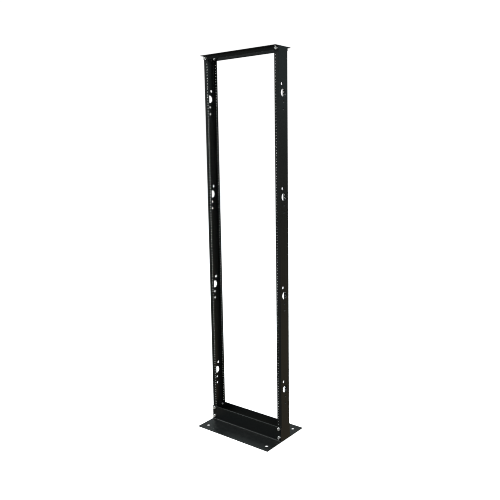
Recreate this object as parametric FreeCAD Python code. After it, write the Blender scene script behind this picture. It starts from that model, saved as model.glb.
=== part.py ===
import FreeCAD, Part
import math
import os

# Two-post open relay rack, 84 in tall, for 19-inch equipment. Millimetres.
# Origin on the floor, midway between the two uprights and midway between the
# front and rear base angles. +X to the right, +Y to the rear, +Z up.

INCH = 25.4

# Overall frame
RACK_WIDTH = 20.0 * INCH
RACK_HEIGHT = 84.0 * INCH
HALF_WIDTH = RACK_WIDTH / 2.0

# Uprights: extruded C-channels, web outboard, flanges pointing at each other
POST_DEPTH = 3.0 * INCH
HALF_DEPTH = POST_DEPTH / 2.0
FLANGE_WIDTH = 1.125 * INCH
POST_WALL = 0.1875 * INCH
POST_FILLET = 1.6
POST_CORNER = 0.8

# Tapped equipment holes, universal spacing, number 12-24 thread
RACK_UNIT = 1.75 * INCH
UNIT_COUNT = 45
FIRST_UNIT = 3.75 * INCH
UNIT_HOLES = (0.25 * INCH, 0.875 * INCH, 1.5 * INCH)
HOLE_LINE = 18.312 * INCH / 2.0
TAP_RADIUS = 2.25
TAP_CHAMFER = 0.5

# Hole groups in the webs, twelve rack units apart
GROUP_COUNT = 4
GROUP_PITCH = 12.0 * RACK_UNIT
FIRST_GROUP = 303.2
CABLE_HOLE_R = 0.8125 * INCH
LACING_HOLE_R = 0.3125 * INCH
LACING_RISE = 1.75 * INCH
LACING_SHIFT = 0.5 * INCH
BAYING_HOLE_R = 0.25 * INCH
BAYING_DROPS = (1.75 * INCH, 3.25 * INCH)

# Base angles
BASE_REACH = 5.3125 * INCH
BASE_LEG = 3.375 * INCH
BASE_WALL = 0.1875 * INCH
BASE_FILLET = 6.0
BASE_TOE = 2.0
FLOOR_HOLE_R = 0.375 * INCH
FLOOR_HOLE_END = 1.5 * INCH
FLOOR_HOLE_EDGE = 1.75 * INCH

# Top angles
TOP_REACH = 1.125 * INCH
TOP_LEG = 0.8125 * INCH
TOP_WALL = 0.125 * INCH
TOP_FILLET = 1.1
TOP_TOE = 0.4

# Outer heel of every angle
HEEL = 0.8

# Bolted joints: one per flange at the top, two per flange at the base
BOLT_LINE = HALF_WIDTH - FLANGE_WIDTH / 2.0
TOP_BOLT_DROP = 12.3
BASE_BOLT_LOW = 1.0 * INCH
BASE_BOLT_HIGH = 3.0 * INCH

# Inch hexagon hardware: 1/4-20 at the top, 5/16-18 at the base
TOP_SET = {
    "shank_r": 3.175, "length": 0.75 * INCH, "hole_r": 3.57,
    "across": 11.11, "head": 4.14, "nut": 5.56,
    "flat_r": 7.94, "flat_bore": 3.57, "flat": 1.65,
    "lock_r": 6.2, "lock_bore": 3.3, "lock": 1.57,
}
BASE_SET = {
    "shank_r": 3.97, "length": 0.875 * INCH, "hole_r": 4.37,
    "across": 12.7, "head": 5.36, "nut": 6.75,
    "flat_r": 8.73, "flat_bore": 4.37, "flat": 1.65,
    "lock_r": 7.44, "lock_bore": 4.1, "lock": 1.98,
}
NUT_CLEARANCE = 0.05
LOCK_GAP = 1.2
LOCK_GAP_TILT = 25.0
HEX_CHAMFER = 0.8
TIP_CHAMFER = 0.7

OVERCUT = 5.0
X_AXIS = FreeCAD.Vector(1, 0, 0)
Y_AXIS = FreeCAD.Vector(0, 1, 0)
Z_AXIS = FreeCAD.Vector(0, 0, 1)


def vec(x, y, z):
    return FreeCAD.Vector(x, y, z)


def line(a, b):
    return Part.LineSegment(a, b).toShape()


def arc(a, middle, b):
    return Part.Arc(a, middle, b).toShape()


def on_circle(centre, radius, degrees):
    """A point on a circle, as a pair."""
    turn = math.radians(degrees)
    return (centre[0] + radius * math.cos(turn), centre[1] + radius * math.sin(turn))


def quarter(centre, radius, start, end):
    """Arc in plan round a centre, from one angle to another in degrees."""
    points = [on_circle(centre, radius, turn) for turn in (start, (start + end) / 2.0, end)]
    return arc(*[vec(x, y, 0) for x, y in points])


def channel_section():
    """C section in plan: outer face of the web on x = 0, flanges towards +X."""
    inner = HALF_DEPTH - POST_WALL
    fillet_x = POST_WALL + POST_FILLET
    fillet_y = inner - POST_FILLET
    corner_y = HALF_DEPTH - POST_CORNER
    edges = [
        line(vec(FLANGE_WIDTH, -HALF_DEPTH, 0), vec(FLANGE_WIDTH, -inner, 0)),
        line(vec(FLANGE_WIDTH, -inner, 0), vec(fillet_x, -inner, 0)),
        quarter((fillet_x, -fillet_y), POST_FILLET, 270, 180),
        line(vec(POST_WALL, -fillet_y, 0), vec(POST_WALL, fillet_y, 0)),
        quarter((fillet_x, fillet_y), POST_FILLET, 180, 90),
        line(vec(fillet_x, inner, 0), vec(FLANGE_WIDTH, inner, 0)),
        line(vec(FLANGE_WIDTH, inner, 0), vec(FLANGE_WIDTH, HALF_DEPTH, 0)),
        line(vec(FLANGE_WIDTH, HALF_DEPTH, 0), vec(POST_CORNER, HALF_DEPTH, 0)),
        quarter((POST_CORNER, corner_y), POST_CORNER, 90, 180),
        line(vec(0, corner_y, 0), vec(0, -corner_y, 0)),
        quarter((POST_CORNER, -corner_y), POST_CORNER, 180, 270),
        line(vec(POST_CORNER, -HALF_DEPTH, 0), vec(FLANGE_WIDTH, -HALF_DEPTH, 0)),
    ]
    return Part.Face(Part.Wire(edges))


def tapped_hole(x, z):
    """Cutter for the two tapped holes, front and rear flange, that share one axis."""
    through = Part.makeCylinder(
        TAP_RADIUS, POST_DEPTH + 2 * OVERCUT, vec(x, -HALF_DEPTH - OVERCUT, z), Y_AXIS)
    mouth = TAP_RADIUS + TAP_CHAMFER
    front = Part.makeCone(mouth, TAP_RADIUS, TAP_CHAMFER, vec(x, -HALF_DEPTH, z), Y_AXIS)
    rear = Part.makeCone(mouth, TAP_RADIUS, TAP_CHAMFER, vec(x, HALF_DEPTH, z), -Y_AXIS)
    return [through, front, rear]


def web_hole(radius, y, z):
    return Part.makeCylinder(radius, POST_WALL + 2 * OVERCUT, vec(-OVERCUT, y, z), X_AXIS)


def web_group(z):
    """Cutters for one hole group: lacing hole on top, cable hole, two baying holes below."""
    cutters = [
        web_hole(CABLE_HOLE_R, 0.0, z),
        web_hole(LACING_HOLE_R, LACING_SHIFT, z + LACING_RISE),
    ]
    for drop in BAYING_DROPS:
        cutters.append(web_hole(BAYING_HOLE_R, 0.0, z - drop))
    return cutters


def flange_bolt_hole(x, z, radius):
    return Part.makeCylinder(
        radius, POST_DEPTH + 2 * OVERCUT, vec(x, -HALF_DEPTH - OVERCUT, z), Y_AXIS)


def upright():
    """One upright with the outer face of its web on x = 0. Both uprights are this same part."""
    body = channel_section().extrude(vec(0, 0, RACK_HEIGHT))
    hole_x = HALF_WIDTH - HOLE_LINE
    bolt_x = HALF_WIDTH - BOLT_LINE
    cutters = []
    for unit in range(UNIT_COUNT):
        for offset in UNIT_HOLES:
            cutters += tapped_hole(hole_x, FIRST_UNIT + unit * RACK_UNIT + offset)
    for group in range(GROUP_COUNT):
        cutters += web_group(FIRST_GROUP + group * GROUP_PITCH)
    cutters.append(flange_bolt_hole(bolt_x, RACK_HEIGHT - TOP_BOLT_DROP, TOP_SET["hole_r"]))
    for z in (BASE_BOLT_LOW, BASE_BOLT_HIGH):
        cutters.append(flange_bolt_hole(bolt_x, z, BASE_SET["hole_r"]))
    return body.cut(cutters)


def left_upright():
    post = upright()
    post.translate(vec(-HALF_WIDTH, 0, 0))
    return post


def right_upright():
    """The same part turned half round about the vertical."""
    post = upright()
    post.rotate(vec(0, 0, 0), Z_AXIS, 180.0)
    post.translate(vec(HALF_WIDTH, 0, 0))
    return post


def angle_bar(place, reach, leg, wall, fillet, toe):
    """A full-width extruded L bar with a filleted inner corner and rounded toes.

    place(a, b) gives the point a away from the uprights' face and b away from
    the outer face of the horizontal leg.
    """
    def round_off(centre, radius, start, end):
        points = [on_circle(centre, radius, turn) for turn in (start, (start + end) / 2.0, end)]
        return arc(*[place(a, b) for a, b in points])

    edges = [
        line(place(HEEL, 0), place(reach, 0)),
        line(place(reach, 0), place(reach, wall - toe)),
        round_off((reach - toe, wall - toe), toe, 0, 90),
        line(place(reach - toe, wall), place(wall + fillet, wall)),
        round_off((wall + fillet, wall + fillet), fillet, 270, 180),
        line(place(wall, wall + fillet), place(wall, leg - toe)),
        round_off((wall - toe, leg - toe), toe, 0, 90),
        line(place(wall - toe, leg), place(0, leg)),
        line(place(0, leg), place(0, HEEL)),
        round_off((HEEL, HEEL), HEEL, 180, 270),
    ]
    return Part.Face(Part.Wire(edges)).extrude(vec(RACK_WIDTH, 0, 0))


def leg_bolt_hole(x, z, radius, side):
    start = vec(x, side * (HALF_DEPTH - OVERCUT), z)
    return Part.makeCylinder(radius, 4 * OVERCUT, start, Y_AXIS * side)


def base_angle(side):
    """side is -1 for the front angle and 1 for the rear one."""
    def place(a, b):
        return vec(-HALF_WIDTH, side * (HALF_DEPTH + a), b)

    bar = angle_bar(place, BASE_REACH, BASE_LEG, BASE_WALL, BASE_FILLET, BASE_TOE)
    floor_y = side * (HALF_DEPTH + BASE_REACH - FLOOR_HOLE_EDGE)
    cutters = []
    for end in (-1, 1):
        for z in (BASE_BOLT_LOW, BASE_BOLT_HIGH):
            cutters.append(leg_bolt_hole(end * BOLT_LINE, z, BASE_SET["hole_r"], side))
        floor_x = end * (HALF_WIDTH - FLOOR_HOLE_END)
        cutters.append(Part.makeCylinder(
            FLOOR_HOLE_R, BASE_WALL + 2 * OVERCUT, vec(floor_x, floor_y, -OVERCUT), Z_AXIS))
    return bar.cut(cutters)


def top_angle(side):
    """side is -1 for the front angle and 1 for the rear one."""
    def place(a, b):
        return vec(-HALF_WIDTH, side * (HALF_DEPTH + a), RACK_HEIGHT - b)

    bar = angle_bar(place, TOP_REACH, TOP_LEG, TOP_WALL, TOP_FILLET, TOP_TOE)
    cutters = []
    for end in (-1, 1):
        z = RACK_HEIGHT - TOP_BOLT_DROP
        cutters.append(leg_bolt_hole(end * BOLT_LINE, z, TOP_SET["hole_r"], side))
    return bar.cut(cutters)


# Fasteners are drawn along +Z with the bolt's head above its seat at z = 0,
# then laid along Y so that the head faces away from the uprights.

def hexagon(across, height):
    """Hexagonal prism standing on z = 0 with its top corners chamfered."""
    corner_r = across / math.sqrt(3.0)
    corners = []
    for step in range(7):
        turn = math.radians(60.0 * step)
        corners.append(vec(corner_r * math.cos(turn), corner_r * math.sin(turn), 0))
    prism = Part.Face(Part.makePolygon(corners)).extrude(vec(0, 0, height))
    slope_r = corner_r + 2.0 * (height - HEX_CHAMFER)
    top_r = corner_r - 2.0 * HEX_CHAMFER
    bell = Part.makeCone(slope_r, top_r, height)
    return prism.common(bell)


def bolt(size):
    head = hexagon(size["across"], size["head"])
    radius = size["shank_r"]
    plain = size["length"] - TIP_CHAMFER
    shank = Part.makeCylinder(radius, plain, vec(0, 0, -plain))
    tip = Part.makeCone(radius - TIP_CHAMFER, radius, TIP_CHAMFER, vec(0, 0, -size["length"]))
    return head.fuse([shank, tip]).removeSplitter()


def nut(size):
    body = hexagon(size["across"], size["nut"])
    bore = Part.makeCylinder(size["shank_r"] + NUT_CLEARANCE, size["nut"])
    return body.cut(bore)


def flat_washer(size):
    disc = Part.makeCylinder(size["flat_r"], size["flat"])
    return disc.cut(Part.makeCylinder(size["flat_bore"], size["flat"]))


def lock_washer(size):
    """Spring washer: a ring cut through once, on the slant."""
    ring = Part.makeCylinder(size["lock_r"], size["lock"])
    ring = ring.cut(Part.makeCylinder(size["lock_bore"], size["lock"]))
    depth = size["lock_r"] + 1.0
    gap = Part.makeBox(depth, LOCK_GAP, 6 * size["lock"], vec(0, -LOCK_GAP / 2, -3 * size["lock"]))
    gap.translate(vec(0, 0, size["lock"] / 2))
    gap.rotate(vec(0, 0, size["lock"] / 2), X_AXIS, LOCK_GAP_TILT)
    return ring.cut(gap)


def lay(shape, x, y, z, side):
    """Turns a fastener's +Z to face outwards, side * Y, and puts its seat at the point."""
    shape.rotate(vec(0, 0, 0), X_AXIS, -90.0 * side)
    shape.translate(vec(x, y, z))
    return shape


def joint_pieces(size, wall, x, z, side):
    """Bolt, washers and nut of one joint. The stack starts on the angle's outer face."""
    flat_seat = HALF_DEPTH + wall
    lock_seat = flat_seat + size["flat"]
    head_seat = lock_seat + size["lock"]
    nut_seat = HALF_DEPTH - POST_WALL
    return {
        "flat_washer": lay(flat_washer(size), x, side * flat_seat, z, side),
        "lock_washer": lay(lock_washer(size), x, side * lock_seat, z, side),
        "bolt": lay(bolt(size), x, side * head_seat, z, side),
        "nut": lay(nut(size), x, side * nut_seat, z, -side),
    }


def all_pieces():
    pieces = {
        "left_upright": left_upright(),
        "right_upright": right_upright(),
    }
    levels = {
        "top": (TOP_SET, TOP_WALL, RACK_HEIGHT - TOP_BOLT_DROP),
        "base_upper": (BASE_SET, BASE_WALL, BASE_BOLT_HIGH),
        "base_lower": (BASE_SET, BASE_WALL, BASE_BOLT_LOW),
    }
    for face, side in (("front", -1), ("rear", 1)):
        pieces[face + "_top_angle"] = top_angle(side)
        pieces[face + "_base_angle"] = base_angle(side)
        for hand, x in (("left", -BOLT_LINE), ("right", BOLT_LINE)):
            for level, (size, wall, z) in levels.items():
                for kind, shape in joint_pieces(size, wall, x, z, side).items():
                    pieces["_".join((kind, face, hand, level))] = shape
    return pieces


def main():
    os.makedirs("parts", exist_ok=True)
    for name, shape in all_pieces().items():
        if not shape.isValid() or shape.Volume <= 0:
            raise ValueError(name + " is not a valid solid")
        solids = shape.Solids
        single = solids[0] if len(solids) == 1 else shape
        single.exportStep(os.path.join("parts", name + ".step"))


main()
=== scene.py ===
"""Looks of the open two-post relay rack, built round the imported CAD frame.

The six extruded members keep their CAD meshes and get a black powder coat.
The 48 fasteners are rebuilt in place with chamfered heads, cut threads and split spring washers.
Lengths are in metres in the row frame: X to the right, Y to the rear, Z up.
"""

import math
import random

import bmesh
import bpy
from mathutils import Matrix, Vector


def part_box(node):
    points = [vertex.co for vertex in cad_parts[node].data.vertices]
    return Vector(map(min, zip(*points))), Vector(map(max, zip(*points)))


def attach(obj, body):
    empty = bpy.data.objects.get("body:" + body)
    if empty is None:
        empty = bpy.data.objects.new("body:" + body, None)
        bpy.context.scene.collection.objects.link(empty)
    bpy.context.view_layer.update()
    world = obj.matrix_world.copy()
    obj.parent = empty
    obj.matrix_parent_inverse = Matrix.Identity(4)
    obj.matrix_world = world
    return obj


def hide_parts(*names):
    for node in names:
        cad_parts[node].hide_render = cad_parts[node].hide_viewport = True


MM = 0.001
INCH = 0.0254

# Inch hexagon hardware: 1/4-20 at the top angles, 5/16-18 at the base angles
SMALL = {
    "shank_r": 3.175 * MM, "pitch": INCH / 20, "length": 0.75 * INCH,
    "across": 11.11 * MM, "head": 4.14 * MM, "nut": 5.56 * MM,
    "flat_r": 7.94 * MM, "flat_bore": 3.57 * MM, "flat": 1.65 * MM,
    "lock_r": 6.2 * MM, "lock_bore": 3.3 * MM, "lock": 1.57 * MM,
}
LARGE = {
    "shank_r": 3.97 * MM, "pitch": INCH / 18, "length": 0.875 * INCH,
    "across": 12.7 * MM, "head": 5.36 * MM, "nut": 6.75 * MM,
    "flat_r": 8.73 * MM, "flat_bore": 4.37 * MM, "flat": 1.65 * MM,
    "lock_r": 7.44 * MM, "lock_bore": 4.1 * MM, "lock": 1.98 * MM,
}
LEVELS = {"top": SMALL, "base_upper": LARGE, "base_lower": LARGE}
SIDES = {"front": -1, "rear": 1}
HANDS = ("left", "right")

# Shape details of the hardware
WASHER_FACE = 0.3 * MM
HEAD_CHAMFER = math.radians(30)
HEAD_DISH = 0.25 * MM
TIP_CHAMFER = 0.7 * MM
# Radii of the hexagon's end face and of the washer face over half the width across
# flats, and of the dish's rim and floor over the washer face
HEX_FACE = 0.97
SEAT_FACE = 0.95
DISH_RIM = 0.93
DISH_FLOOR = 0.8
# Depth of a bolt's thread as a part of its pitch
THREAD_DEPTH = 0.6
NUT_COUNTERSINK = 0.35 * MM
NUT_CLEARANCE = 0.05 * MM
WASHER_ROLL = 0.4 * MM
WASHER_BURR = 0.08 * MM
SPLIT_WIDTH = 1.2 * MM
SPLIT_SLANT = 0.9 * MM
SPLIT_CORNER = 0.18 * MM
EDGE_ROUND = 0.25 * MM
EDGE_ANGLE = math.radians(50)
ROUND_STEPS = 48
ROLL_STEPS = 4
WELD = 0.001 * MM
SPIN_SEED = 12

# Tapped equipment holes: three to each 44.45 mm unit
RACK_UNIT = 1.75 * INCH
UNIT_COUNT = 45
FIRST_UNIT = 3.75 * INCH
HOLE_LINE = 18.312 * INCH / 2
UNIT_HOLES = (0.25 * INCH, 0.875 * INCH, 1.5 * INCH)
TAP_PITCH = INCH / 24

# How far bare metal reaches from a tapped hole's centre line: on the right post it is the thread only;
# on the left post it goes on as a wider ring round each mouth, a painted glint that brightens those
# holes as the threads' reflection would
BARE_AND_GLINT_R = {"left_upright": 3.1 * MM, "right_upright": 2.35 * MM}
BARE_FADE = 0.1 * MM

# Powder coat
COAT_DARK = (0.006, 0.0075, 0.0078)
COAT_LIGHT = (0.0083, 0.0091, 0.0089)
COAT_GRAIN = (0.016, 0.0173, 0.0173)
COAT_DUST = (0.037, 0.036, 0.034)
# Edge colour: partly thinner coat, partly a painted highlight along the rounded edges
COAT_THIN_EDGE_AND_HIGHLIGHT = (0.045, 0.047, 0.048)
COAT_ROUGH = (0.33, 0.43)
COAT_GLOSS = 0.19
COAT_EDGE_ROUND = 0.8 * MM
COAT_RELIEF = 0.06 * MM
BARE_METAL = (0.9, 0.9, 0.89)

# Zinc plate: colour, and lowest and highest roughness
ZINC = {
    "zinc_bolt": ("bright_zinc_bolts", (0.78, 0.78, 0.76), (0.28, 0.4)),
    "zinc_nut": ("bright_zinc_nuts", (0.78, 0.78, 0.77), (0.3, 0.42)),
    "zinc_washer": ("zinc_washers", (0.7, 0.7, 0.69), (0.34, 0.46)),
    "zinc_spring": ("zinc_spring_steel", (0.56, 0.56, 0.56), (0.36, 0.5)),
}
ZINC_RUBBED = (0.85, 0.85, 0.83)
ZINC_EDGE_ROUND = 0.35 * MM
ZINC_RELIEF = 0.02 * MM

# Cosines between rounded and flat normal where a lighter edge begins and where it is full: worn zinc on
# the hardware; on the coat, thinner coat and a painted highlight
EDGE_COSINES = (0.995, 0.9)

# Fineness of the surface patterns, in cells per metre
CLOUDS = 7.0
MOTTLE = 60.0
STREAKS = 420.0
PEEL = 620.0
GRAIN = 3600.0
ZINC_CLOUDS = 450.0
ZINC_SCUFFS = 2600.0

# Camera
CAMERA_PLACE = Vector((2.0424, -2.5550, 1.6097))
CAMERA_YAW = math.radians(38.3675)
CAMERA_PITCH = math.radians(-9.4842)
CAMERA_ROLL = math.radians(-0.9273)
CAMERA_LENS = 42.493
CAMERA_SENSOR = 36.0

# Studio
FLOOR_RADIUS = 30.0
FLOOR_STEPS = 96
FLOOR_GREY = (0.9, 0.9, 0.9, 1)
FLOOR_GLOW = 0.93
SURROUND = (1.05, 1.05, 1.05)
ROOM_ABOVE = (0.14, 0.19, 0.205)
ROOM_BELOW = (0.28, 0.262, 0.22)
# Soft patches of the room: middle, cosines of its outer and inner rim, colour
ROOM_PATCHES = (
    (Vector((0.5, 0.74, -0.5)), 0.9, 1.0, (0.6, 0.47, 0.3)),
    (Vector((-0.53, 0.7, 0.475)), 0.9, 0.98, (0.5, 0.54, 0.54)),
    (Vector((-0.62, 0.77, -0.2)), 0.8, 0.97, (0.03, 0.033, 0.033)),
)
# Soft boxes: place, point aimed at, width, watts, colour
BOXES = {
    "key": ((-4.7, -4.1, 6.9), (0, 0, 0.9), 2.8, 600, (0.97, 1, 1)),
    "front_left": ((-3.2, -2.85, 1.7), (0, 0, 1.1), 2.0, 10, (0.86, 1, 1)),
    "rear_right": ((2.6, 3.2, 2.9), (0, 0, 1.7), 2.0, 6.5, (0.72, 0.96, 1)),
    "rear_left": ((-2.8, 3.0, 2.6), (0, 0, 1.0), 2.0, 9, (0.86, 1, 1)),
    "glint": ((3.0, -1.6, 2.6), (0, 0, 1.2), 1.0, 21, (1, 1, 1)),
}
HARDWARE_BOXES = {
    "hardware_front": ((2.0, -3.6, 1.2), (0, 0, 1.1), 1.0, 60, (1, 1, 1)),
    "hardware_left": ((-2.4, -3.3, 0.35), (0, 0, 1.1), 0.6, 55, (1, 1, 1)),
}
# One dim box squarely facing each side
SIDE_DIRECTIONS = {"right": (1, 0), "front": (0, -1), "left": (-1, 0), "rear": (0, 1)}
SIDE_DISTANCE = 4.2
SIDE_HEIGHT = 1.4
SIDE_BOX = ((0, 0, 1.1), 2.6, 13, (0.95, 1, 1))


# ---------------------------------------------------------------- shader helpers

def new_material(name):
    """An empty node material and its tree."""
    material = bpy.data.materials.new(name)
    material.use_nodes = True
    material.node_tree.nodes.clear()
    return material, material.node_tree


def node(tree, kind, inputs=None, **settings):
    """Adds a shader node, sets its properties, and sets or links its inputs."""
    made = tree.nodes.new("ShaderNode" + kind)
    for key, value in settings.items():
        setattr(made, key, value)
    for key, value in (inputs or {}).items():
        if isinstance(value, bpy.types.NodeSocket):
            tree.links.new(value, made.inputs[key])
        else:
            made.inputs[key].default_value = value
    return made


def math_node(tree, operation, *values):
    """A Math node's result, from numbers or sockets."""
    return node(tree, "Math", dict(enumerate(values)), operation=operation).outputs[0]


def ramp(tree, value, low, high, out_low=0.0, out_high=1.0, smooth=True):
    """The value carried from the range low..high to out_low..out_high, held at both ends."""
    made = node(tree, "MapRange", {
        "Value": value, "From Min": low, "From Max": high, "To Min": out_low, "To Max": out_high,
    }, interpolation_type="SMOOTHSTEP" if smooth else "LINEAR")
    return made.outputs["Result"]


def noise(tree, position, scale, detail=2.0, stretch=(1, 1, 1)):
    """Soft noise, scale cells to the metre; a small stretch factor draws it out along that axis."""
    moved = node(tree, "VectorMath", {0: position, 1: stretch}, operation="MULTIPLY").outputs[0]
    return node(tree, "TexNoise", {"Vector": moved, "Scale": scale, "Detail": detail}).outputs["Fac"]


def along_axis(axis, stretch):
    """Scale factors that draw a noise out along one axis, 0 for X to 2 for Z."""
    return tuple(stretch if i == axis else 1.0 for i in range(3))


def mix_colour(tree, factor, low, high):
    """Blend of two colours, each a socket or a colour."""
    made = node(tree, "Mix", {"Factor": factor}, data_type="RGBA")
    for socket, value in ((made.inputs[6], low), (made.inputs[7], high)):
        if isinstance(value, bpy.types.NodeSocket):
            tree.links.new(value, socket)
        else:
            socket.default_value = (*value, 1)
    return made.outputs[2]


def position_of(tree):
    """Object coordinates, which are metres in the row frame for a CAD node."""
    return node(tree, "TexCoord").outputs["Object"]


def edge_rounding(tree, radius):
    """Normal of the surface with its edges rounded, and a mask that is one on those edges."""
    rounded = node(tree, "Bevel", {"Radius": radius}, samples=6).outputs[0]
    flat = node(tree, "NewGeometry").outputs["Normal"]
    agree = node(tree, "VectorMath", {0: rounded, 1: flat}, operation="DOT_PRODUCT").outputs["Value"]
    return rounded, ramp(tree, agree, *EDGE_COSINES)


def tapped_hole_distance(tree, position):
    """Distance from the centre line of the nearest tapped hole, repeated over the rack's units only."""
    split = node(tree, "SeparateXYZ", {0: position})
    across = math_node(tree, "SUBTRACT", math_node(tree, "ABSOLUTE", split.outputs[0]), HOLE_LINE)
    above = math_node(tree, "SUBTRACT", split.outputs[2], FIRST_UNIT)
    in_unit = math_node(tree, "WRAP", above, RACK_UNIT, 0.0)
    nearest = 1.0
    for height in UNIT_HOLES:
        away = math_node(tree, "ABSOLUTE", math_node(tree, "SUBTRACT", in_unit, height))
        nearest = math_node(tree, "MINIMUM", away, nearest)
    squares = [math_node(tree, "MULTIPLY", side, side) for side in (across, nearest)]
    distance = math_node(tree, "SQRT", math_node(tree, "ADD", *squares))
    past_ends = math_node(tree, "MAXIMUM", math_node(tree, "MULTIPLY", above, -1.0),
                          math_node(tree, "SUBTRACT", above, UNIT_COUNT * RACK_UNIT))
    return math_node(tree, "MAXIMUM", distance, past_ends)


# ---------------------------------------------------------------- materials

def powder_coat(name, length_axis, bare_and_glint_radius=0.0):
    """Fine-textured semi-gloss black powder coat, lighter on edges for thinner coat and a painted
    highlight; tapped holes are bare metal, and a bare radius wider than the thread paints a glint ring
    round them.
    """
    material, tree = new_material(name)
    position = position_of(tree)
    cloud = noise(tree, position, CLOUDS, 3.0, along_axis(length_axis, 0.35))
    mottle = noise(tree, position, MOTTLE, 4.0)
    streak = noise(tree, position, STREAKS, 2.0, along_axis(length_axis, 0.03))
    peel = noise(tree, position, PEEL, 2.0)
    grain = noise(tree, position, GRAIN, 1.0)

    tone = mix_colour(tree, ramp(tree, cloud, 0.35, 0.65), COAT_DARK, COAT_LIGHT)
    tone = mix_colour(tree, ramp(tree, grain, 0.5, 0.75, 0.0, 0.5), tone, COAT_GRAIN)

    normal = node(tree, "NewGeometry").outputs["Normal"]
    upward = ramp(tree, node(tree, "SeparateXYZ", {0: normal}).outputs[2], 0.6, 0.95)
    dust = math_node(tree, "MULTIPLY", upward, ramp(tree, mottle, 0.4, 0.8, 0.05, 0.4))
    tone = mix_colour(tree, dust, tone, COAT_DUST)

    rounded, edges = edge_rounding(tree, COAT_EDGE_ROUND)
    # Lighter edges: thinner coat, and a painted highlight along the edges
    thin_edge_and_highlight = math_node(tree, "MULTIPLY", edges, ramp(tree, mottle, 0.35, 0.65, 0.3, 1.0))
    tone = mix_colour(tree, thin_edge_and_highlight, tone, COAT_THIN_EDGE_AND_HIGHLIGHT)

    rough = ramp(tree, cloud, 0.3, 0.7, *COAT_ROUGH)
    rough = math_node(tree, "ADD", rough, ramp(tree, streak, 0.6, 0.8, 0.0, -0.1))
    rough = math_node(tree, "ADD", rough, math_node(tree, "MULTIPLY", dust, 0.3))
    metal = 0.0
    thread = 0.0
    if bare_and_glint_radius:
        # Bare thread in the tapped holes; a radius wider than the thread, as on the left post, adds a
        # ring of painted glint
        away = tapped_hole_distance(tree, position)
        metal = ramp(tree, away, bare_and_glint_radius, bare_and_glint_radius - BARE_FADE)
        tone = mix_colour(tree, metal, tone, BARE_METAL)
        rough = math_node(tree, "MULTIPLY_ADD", metal, -0.1, rough)
        depth = node(tree, "SeparateXYZ", {0: position}).outputs[1]
        thread = math_node(tree, "MULTIPLY", math_node(tree, "PINGPONG", depth, TAP_PITCH / 2), metal)

    cut = node(tree, "Bump", {
        "Height": thread, "Strength": 0.6, "Distance": 1.0, "Normal": rounded,
    }).outputs[0]
    height = math_node(tree, "MULTIPLY_ADD", grain, 0.35, peel)
    bump = node(tree, "Bump", {
        "Height": height, "Strength": 0.35, "Distance": COAT_RELIEF, "Normal": cut,
    }).outputs[0]
    surface = node(tree, "BsdfPrincipled", {
        "Base Color": tone, "Roughness": rough, "Metallic": metal, "Normal": bump,
        "Specular IOR Level": COAT_GLOSS,
    })
    node(tree, "OutputMaterial", {"Surface": surface.outputs[0]})
    return material


def zinc(name, tint, roughness):
    """Zinc plate: soft metal sheen with a faint cloudy passivation, brighter where edges rub."""
    material, tree = new_material(name)
    position = position_of(tree)
    cloud = noise(tree, position, ZINC_CLOUDS, 3.0)
    scuff = noise(tree, position, ZINC_SCUFFS, 2.0, along_axis(1, 0.15))
    dull = tuple(0.8 * channel for channel in tint)
    tone = mix_colour(tree, ramp(tree, cloud, 0.35, 0.7), tint, dull)
    rubbed = edge_rounding(tree, ZINC_EDGE_ROUND)[1]
    tone = mix_colour(tree, math_node(tree, "MULTIPLY", rubbed, 0.6), tone, ZINC_RUBBED)
    rough = ramp(tree, cloud, 0.3, 0.7, *roughness)
    rough = math_node(tree, "ADD", rough, ramp(tree, scuff, 0.55, 0.8, 0.0, 0.12))
    bump = node(tree, "Bump", {"Height": scuff, "Strength": 0.2, "Distance": ZINC_RELIEF}).outputs[0]
    surface = node(tree, "BsdfPrincipled", {
        "Base Color": tone, "Roughness": rough, "Metallic": 1.0, "Normal": bump,
    })
    node(tree, "OutputMaterial", {"Surface": surface.outputs[0]})
    return material


def floor_material():
    """A bright seamless studio sweep that still takes a soft contact shadow."""
    material, tree = new_material("studio_floor")
    matt = node(tree, "BsdfDiffuse", {"Color": FLOOR_GREY})
    glow = node(tree, "Emission", {"Color": (1, 1, 1, 1), "Strength": FLOOR_GLOW})
    both = node(tree, "AddShader", {0: matt.outputs[0], 1: glow.outputs[0]})
    node(tree, "OutputMaterial", {"Surface": both.outputs[0]})
    return material


# ---------------------------------------------------------------- mesh helpers

def mesh_from(bm, name, smooth_angle=35):
    """Turns a bmesh into a mesh with outward normals, smooth except at sharp edges."""
    bmesh.ops.remove_doubles(bm, verts=bm.verts, dist=WELD)
    bmesh.ops.recalc_face_normals(bm, faces=bm.faces)
    mesh = bpy.data.meshes.new(name)
    bm.to_mesh(mesh)
    bm.free()
    mesh.shade_smooth()
    mesh.set_sharp_from_angle(angle=math.radians(smooth_angle))
    return mesh


def ring(bm, points):
    """Vertices at the points, in order."""
    return [bm.verts.new(point) for point in points]


def bridge(bm, low, high):
    """Closed band of quads between two rings of the same length."""
    count = len(low)
    for i in range(count):
        j = (i + 1) % count
        bm.faces.new((low[i], low[j], high[j], high[i]))


def circle(radius, height, steps=ROUND_STEPS):
    """Points round the Z axis."""
    turns = [2 * math.pi * i / steps for i in range(steps)]
    return [Vector((radius * math.cos(t), radius * math.sin(t), height)) for t in turns]


def hexagon(across, steps=ROUND_STEPS):
    """For each step round the Z axis, the direction and the distance to the hexagon's side."""
    sides = []
    for i in range(steps):
        turn = 2 * math.pi * i / steps
        from_flat = (turn % (math.pi / 3)) - math.pi / 6
        sides.append((turn, across / 2 / math.cos(from_flat)))
    return sides


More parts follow.
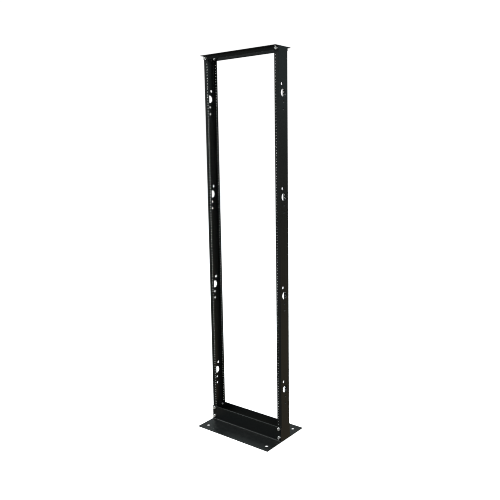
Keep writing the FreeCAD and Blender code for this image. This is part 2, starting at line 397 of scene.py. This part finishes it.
def hex_rings(across, bottom, top, chamfer_bottom, chamfer_top):
    """Rings of a hexagon prism whose corners are cut back by a cone at either end."""
    sides = hexagon(across)
    flat_r = across / 2 * HEX_FACE

    def points(height_of):
        return [Vector((r * math.cos(t), r * math.sin(t), height_of(r))) for t, r in sides]

    def cut(r):
        return max(0.0, r - flat_r) * math.tan(HEAD_CHAMFER)

    rings = []
    if chamfer_bottom:
        rings.append(circle(flat_r, bottom))
        rings.append(points(lambda r: bottom + cut(r)))
    else:
        rings.append(points(lambda r: bottom))
    if chamfer_top:
        rings.append(points(lambda r: top - cut(r)))
        rings.append(circle(flat_r, top))
    else:
        rings.append(points(lambda r: top))
    return rings


def lathe(bm, profile, steps=ROUND_STEPS):
    """Closed ring of revolution from (radius, height) points."""
    rings = [ring(bm, circle(r, h, steps)) for r, h in profile]
    for low, high in zip(rings, rings[1:] + rings[:1]):
        bridge(bm, low, high)


def thread_rows(radius, pitch, length):
    """Helical rows of a rod's thread: the radius of each row and how far down it starts."""
    root = radius - THREAD_DEPTH * pitch
    # Radius, and place within the pitch
    profile = ((root, 0.0), (root, 0.2), (radius, 0.45), (radius, 0.6))
    turns = math.ceil(length / pitch) + 2
    return [(r, (turn + part) * pitch) for turn in range(turns) for r, part in profile]


# ---------------------------------------------------------------- fasteners

def threaded_rod(bm, radius, pitch, length):
    """A rod with a cut thread from z = 0 down to z = -length, its tip chamfered, both ends capped."""
    rod = bmesh.new()
    steps = ROUND_STEPS // 2
    grid = []
    for r, start in thread_rows(radius, pitch, length):
        row = []
        for i in range(steps + 1):
            turn = 2 * math.pi * i / steps
            z = pitch - start - pitch * i / steps
            held = min(r, radius - TIP_CHAMFER + max(0.0, z + length))
            row.append(rod.verts.new((held * math.cos(turn), held * math.sin(turn), z)))
        grid.append(row)
    for low, high in zip(grid, grid[1:]):
        for i in range(steps):
            rod.faces.new((low[i], low[i + 1], high[i + 1], high[i]))
    bmesh.ops.remove_doubles(rod, verts=rod.verts, dist=WELD)
    for height, direction in ((0.0, 1), (-length, -1)):
        whole = rod.verts[:] + rod.edges[:] + rod.faces[:]
        cut = bmesh.ops.bisect_plane(
            rod, geom=whole, plane_co=(0, 0, height), plane_no=(0, 0, direction), clear_outer=True)
        edges = [e for e in cut["geom_cut"] if isinstance(e, bmesh.types.BMEdge)]
        bmesh.ops.holes_fill(rod, edges=edges)
    part = bpy.data.meshes.new("rod")
    rod.to_mesh(part)
    rod.free()
    bm.from_mesh(part)
    bpy.data.meshes.remove(part)


def bolt_mesh(size, name):
    """Hexagon bolt, seat at z = 0, with a washer face under the head and a shallow dish on top."""
    bm = bmesh.new()
    face_r = size["across"] / 2 * SEAT_FACE
    rings = [ring(bm, circle(face_r, 0.0)), ring(bm, circle(face_r, WASHER_FACE))]
    outline = hex_rings(size["across"], WASHER_FACE, size["head"], False, True)
    rings += [ring(bm, points) for points in outline]
    rings.append(ring(bm, circle(face_r * DISH_RIM, size["head"])))
    rings.append(ring(bm, circle(face_r * DISH_FLOOR, size["head"] - HEAD_DISH)))
    for low, high in zip(rings, rings[1:]):
        bridge(bm, low, high)
    bm.faces.new(rings[-1])
    bm.faces.new(rings[0])
    threaded_rod(bm, size["shank_r"], size["pitch"], size["length"])
    return mesh_from(bm, name)


def nut_mesh(size, name):
    """Hexagon nut, seat at z = 0, chamfered on both faces and countersunk at both mouths."""
    bm = bmesh.new()
    bore = size["shank_r"] + NUT_CLEARANCE
    mouth = bore + NUT_COUNTERSINK
    outline = hex_rings(size["across"], 0.0, size["nut"], True, True)
    outer = [ring(bm, points) for points in outline]
    inner = [
        ring(bm, circle(mouth, size["nut"])),
        ring(bm, circle(bore, size["nut"] - NUT_COUNTERSINK)),
        ring(bm, circle(bore, NUT_COUNTERSINK)),
        ring(bm, circle(mouth, 0.0)),
    ]
    rings = outer + inner
    for low, high in zip(rings, rings[1:] + rings[:1]):
        bridge(bm, low, high)
    return mesh_from(bm, name)


def rolled_rim(middle_r, top, radius, start):
    """Quarter round of a washer's upper rim as (radius, height) points, from a start angle onwards."""
    points = []
    for step in range(ROLL_STEPS + 1):
        turn = start + math.pi / 2 * step / ROLL_STEPS
        points.append((middle_r + radius * math.cos(turn), top - radius + radius * math.sin(turn)))
    return points


def flat_washer_mesh(size, name):
    """Punched washer: rolled over on the upper rims, crisp on the lower ones."""
    bm = bmesh.new()
    outer, bore, thick = size["flat_r"], size["flat_bore"], size["flat"]
    bore_roll = 0.6 * WASHER_ROLL
    profile = [
        (bore, 0.5 * WASHER_ROLL), (bore + 0.2 * WASHER_ROLL, 0.0),
        (outer - WASHER_BURR, 0.0), (outer, WASHER_BURR),
    ]
    profile += rolled_rim(outer - WASHER_ROLL, thick, WASHER_ROLL, 0.0)
    profile += rolled_rim(bore + bore_roll, thick, bore_roll, math.pi / 2)
    lathe(bm, profile)
    return mesh_from(bm, name)


def split_washer_mesh(size, name):
    """Spring washer: a bar of near-square section bent to a ring, its slanted ends a little apart."""
    bm = bmesh.new()
    outer, bore, thick = size["lock_r"], size["lock_bore"], size["lock"]
    corner = SPLIT_CORNER
    section = [
        (bore, corner), (bore + corner, 0.0),
        (outer - corner, 0.0), (outer, corner),
        (outer, thick - corner), (outer - corner, thick),
        (bore + corner, thick), (bore, thick - corner),
    ]
    middle_r = (outer + bore) / 2
    gap = SPLIT_WIDTH / middle_r
    slant = SPLIT_SLANT / middle_r
    rings = []
    for i in range(ROUND_STEPS + 1):
        along = gap / 2 + (2 * math.pi - gap) * i / ROUND_STEPS
        points = []
        for r, h in section:
            turn = along + slant * (h / thick - 0.5)
            points.append(Vector((r * math.cos(turn), r * math.sin(turn), h)))
        rings.append(ring(bm, points))
    for low, high in zip(rings, rings[1:]):
        bridge(bm, low, high)
    bm.faces.new(rings[0])
    bm.faces.new(rings[-1])
    return mesh_from(bm, name)


def place(mesh, name, node_name, outward, spin, material, depth):
    """Stands a fastener, facing outward * Y, on the plane depth inside its CAD node's outer end."""
    low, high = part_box(node_name)
    end = high.y if outward > 0 else low.y
    seat = Vector(((low.x + high.x) / 2, end - outward * depth, (low.z + high.z) / 2))
    piece = bpy.data.objects.new(name, mesh)
    bpy.context.scene.collection.objects.link(piece)
    turn = Matrix.Rotation(-outward * math.pi / 2, 4, "X") @ Matrix.Rotation(spin, 4, "Z")
    piece.matrix_world = Matrix.Translation(seat) @ turn
    if not mesh.materials:
        mesh.materials.append(material)
    rounding = piece.modifiers.new("rounded edges", "BEVEL")
    rounding.width = EDGE_ROUND
    rounding.segments = 2
    rounding.limit_method = "ANGLE"
    rounding.angle_limit = EDGE_ANGLE
    rounding.harden_normals = True
    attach(piece, "root")
    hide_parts(node_name)
    return piece


def build_fasteners(finishes):
    """Every bolt, washer and nut, each standing for its own CAD node; returns them as a collection."""
    hardware = bpy.data.collections.new("hardware")
    spins = random.Random(SPIN_SEED)
    meshes = {}
    for size_name, size in (("small", SMALL), ("large", LARGE)):
        meshes[size_name] = {
            "bolt": bolt_mesh(size, size_name + "_bolt"),
            "nut": nut_mesh(size, size_name + "_nut"),
            "flat_washer": flat_washer_mesh(size, size_name + "_flat_washer"),
            "lock_washer": split_washer_mesh(size, size_name + "_split_washer"),
        }
    for face, side in SIDES.items():
        for hand in HANDS:
            for level, size in LEVELS.items():
                shapes = meshes["small" if size is SMALL else "large"]
                where = "_".join((face, hand, level))
                stack = {
                    "bolt": ("threaded_bolt_", side, size["head"], "zinc_bolt"),
                    "nut": ("chamfered_nut_", -side, size["nut"], "zinc_nut"),
                    "flat_washer": ("rolled_washer_", side, size["flat"], "zinc_washer"),
                    "lock_washer": ("split_washer_", side, size["lock"], "zinc_spring"),
                }
                for kind, (prefix, outward, depth, slot) in stack.items():
                    hardware.objects.link(place(
                        shapes[kind], prefix + where, kind + "_" + where, outward,
                        spins.uniform(0, 2 * math.pi), finishes[slot], depth))
    return hardware


# ---------------------------------------------------------------- stage

def build_floor():
    """A wide round floor, bright like the surround, that is seen but neither lights nor is mirrored."""
    bm = bmesh.new()
    bm.faces.new(ring(bm, circle(FLOOR_RADIUS, 0.0, FLOOR_STEPS)))
    mesh = mesh_from(bm, "floor")
    floor = bpy.data.objects.new("floor", mesh)
    bpy.context.scene.collection.objects.link(floor)
    mesh.materials.append(floor_material())
    floor.visible_glossy = False
    floor.visible_diffuse = False


def build_world():
    """White surround behind the object; it is lit by, and reflects, a dim room, warm at the foot."""
    world = bpy.data.worlds.new("studio")
    world.use_nodes = True
    tree = world.node_tree
    tree.nodes.clear()
    direction = node(tree, "TexCoord").outputs["Generated"]
    height = node(tree, "SeparateXYZ", {0: direction}).outputs[2]
    room = mix_colour(tree, ramp(tree, height, -0.4, 0.5), ROOM_BELOW, ROOM_ABOVE)
    for middle, outer, inner, tint in ROOM_PATCHES:
        towards = {0: direction, 1: middle.normalized()}
        near = node(tree, "VectorMath", towards, operation="DOT_PRODUCT").outputs["Value"]
        room = mix_colour(tree, ramp(tree, near, outer, inner), room, tint)
    seen = node(tree, "LightPath").outputs["Is Camera Ray"]
    colour = mix_colour(tree, seen, room, SURROUND)
    background = node(tree, "Background", {"Color": colour})
    node(tree, "OutputWorld", {"Surface": background.outputs[0]})
    bpy.context.scene.world = world


def area_light(name, place_at, aim, size, power, colour, only_for=None):
    """A square soft box aimed at a point, lighting either everything or one collection."""
    data = bpy.data.lights.new(name, "AREA")
    data.size = size
    data.energy = power
    data.color = colour
    lamp = bpy.data.objects.new(name, data)
    bpy.context.scene.collection.objects.link(lamp)
    lamp.location = place_at
    lamp.rotation_euler = (Vector(aim) - Vector(place_at)).to_track_quat("-Z", "Y").to_euler()
    lamp.visible_camera = False
    if only_for:
        lamp.light_linking.receiver_collection = only_for


def build_lights(hardware):
    """A high key light, large soft boxes for each face, and two that reach only the bright hardware."""
    for name, box in BOXES.items():
        area_light(name, *box)
    for name, box in HARDWARE_BOXES.items():
        area_light(name, *box, hardware)
    for name, (x, y) in SIDE_DIRECTIONS.items():
        area_light(name, (SIDE_DISTANCE * x, SIDE_DISTANCE * y, SIDE_HEIGHT), *SIDE_BOX)


def build_camera():
    """The camera, at head height in front and to the right of the rack."""
    data = bpy.data.cameras.new("camera")
    data.lens = CAMERA_LENS
    data.sensor_width = CAMERA_SENSOR
    camera = bpy.data.objects.new("camera", data)
    bpy.context.scene.collection.objects.link(camera)
    heading = Matrix.Rotation(CAMERA_YAW, 4, "Z")
    tilt = Matrix.Rotation(math.pi / 2 + CAMERA_PITCH, 4, "X")
    roll = Matrix.Rotation(CAMERA_ROLL, 4, "Z")
    camera.matrix_world = Matrix.Translation(CAMERA_PLACE) @ heading @ tilt @ roll
    bpy.context.scene.camera = camera


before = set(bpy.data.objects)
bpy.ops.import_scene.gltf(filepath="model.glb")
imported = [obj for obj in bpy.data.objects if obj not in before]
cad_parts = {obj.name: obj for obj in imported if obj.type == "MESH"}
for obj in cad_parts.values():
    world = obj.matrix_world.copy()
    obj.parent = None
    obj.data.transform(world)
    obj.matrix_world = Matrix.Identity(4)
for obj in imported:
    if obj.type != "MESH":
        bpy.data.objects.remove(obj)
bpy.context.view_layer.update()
bpy.context.scene.view_settings.view_transform = "Standard"
bpy.context.scene.cycles.filter_width = 1.0

angle_coat = powder_coat("black_coat_angles", length_axis=0)
for name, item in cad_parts.items():
    if name in BARE_AND_GLINT_R:
        item.material_slots[0].material = powder_coat("black_coat_" + name, 2, BARE_AND_GLINT_R[name])
    elif name.endswith("angle"):
        item.material_slots[0].material = angle_coat

hardware = build_fasteners({slot: zinc(*look) for slot, look in ZINC.items()})
build_floor()
build_world()
build_lights(hardware)
build_camera()
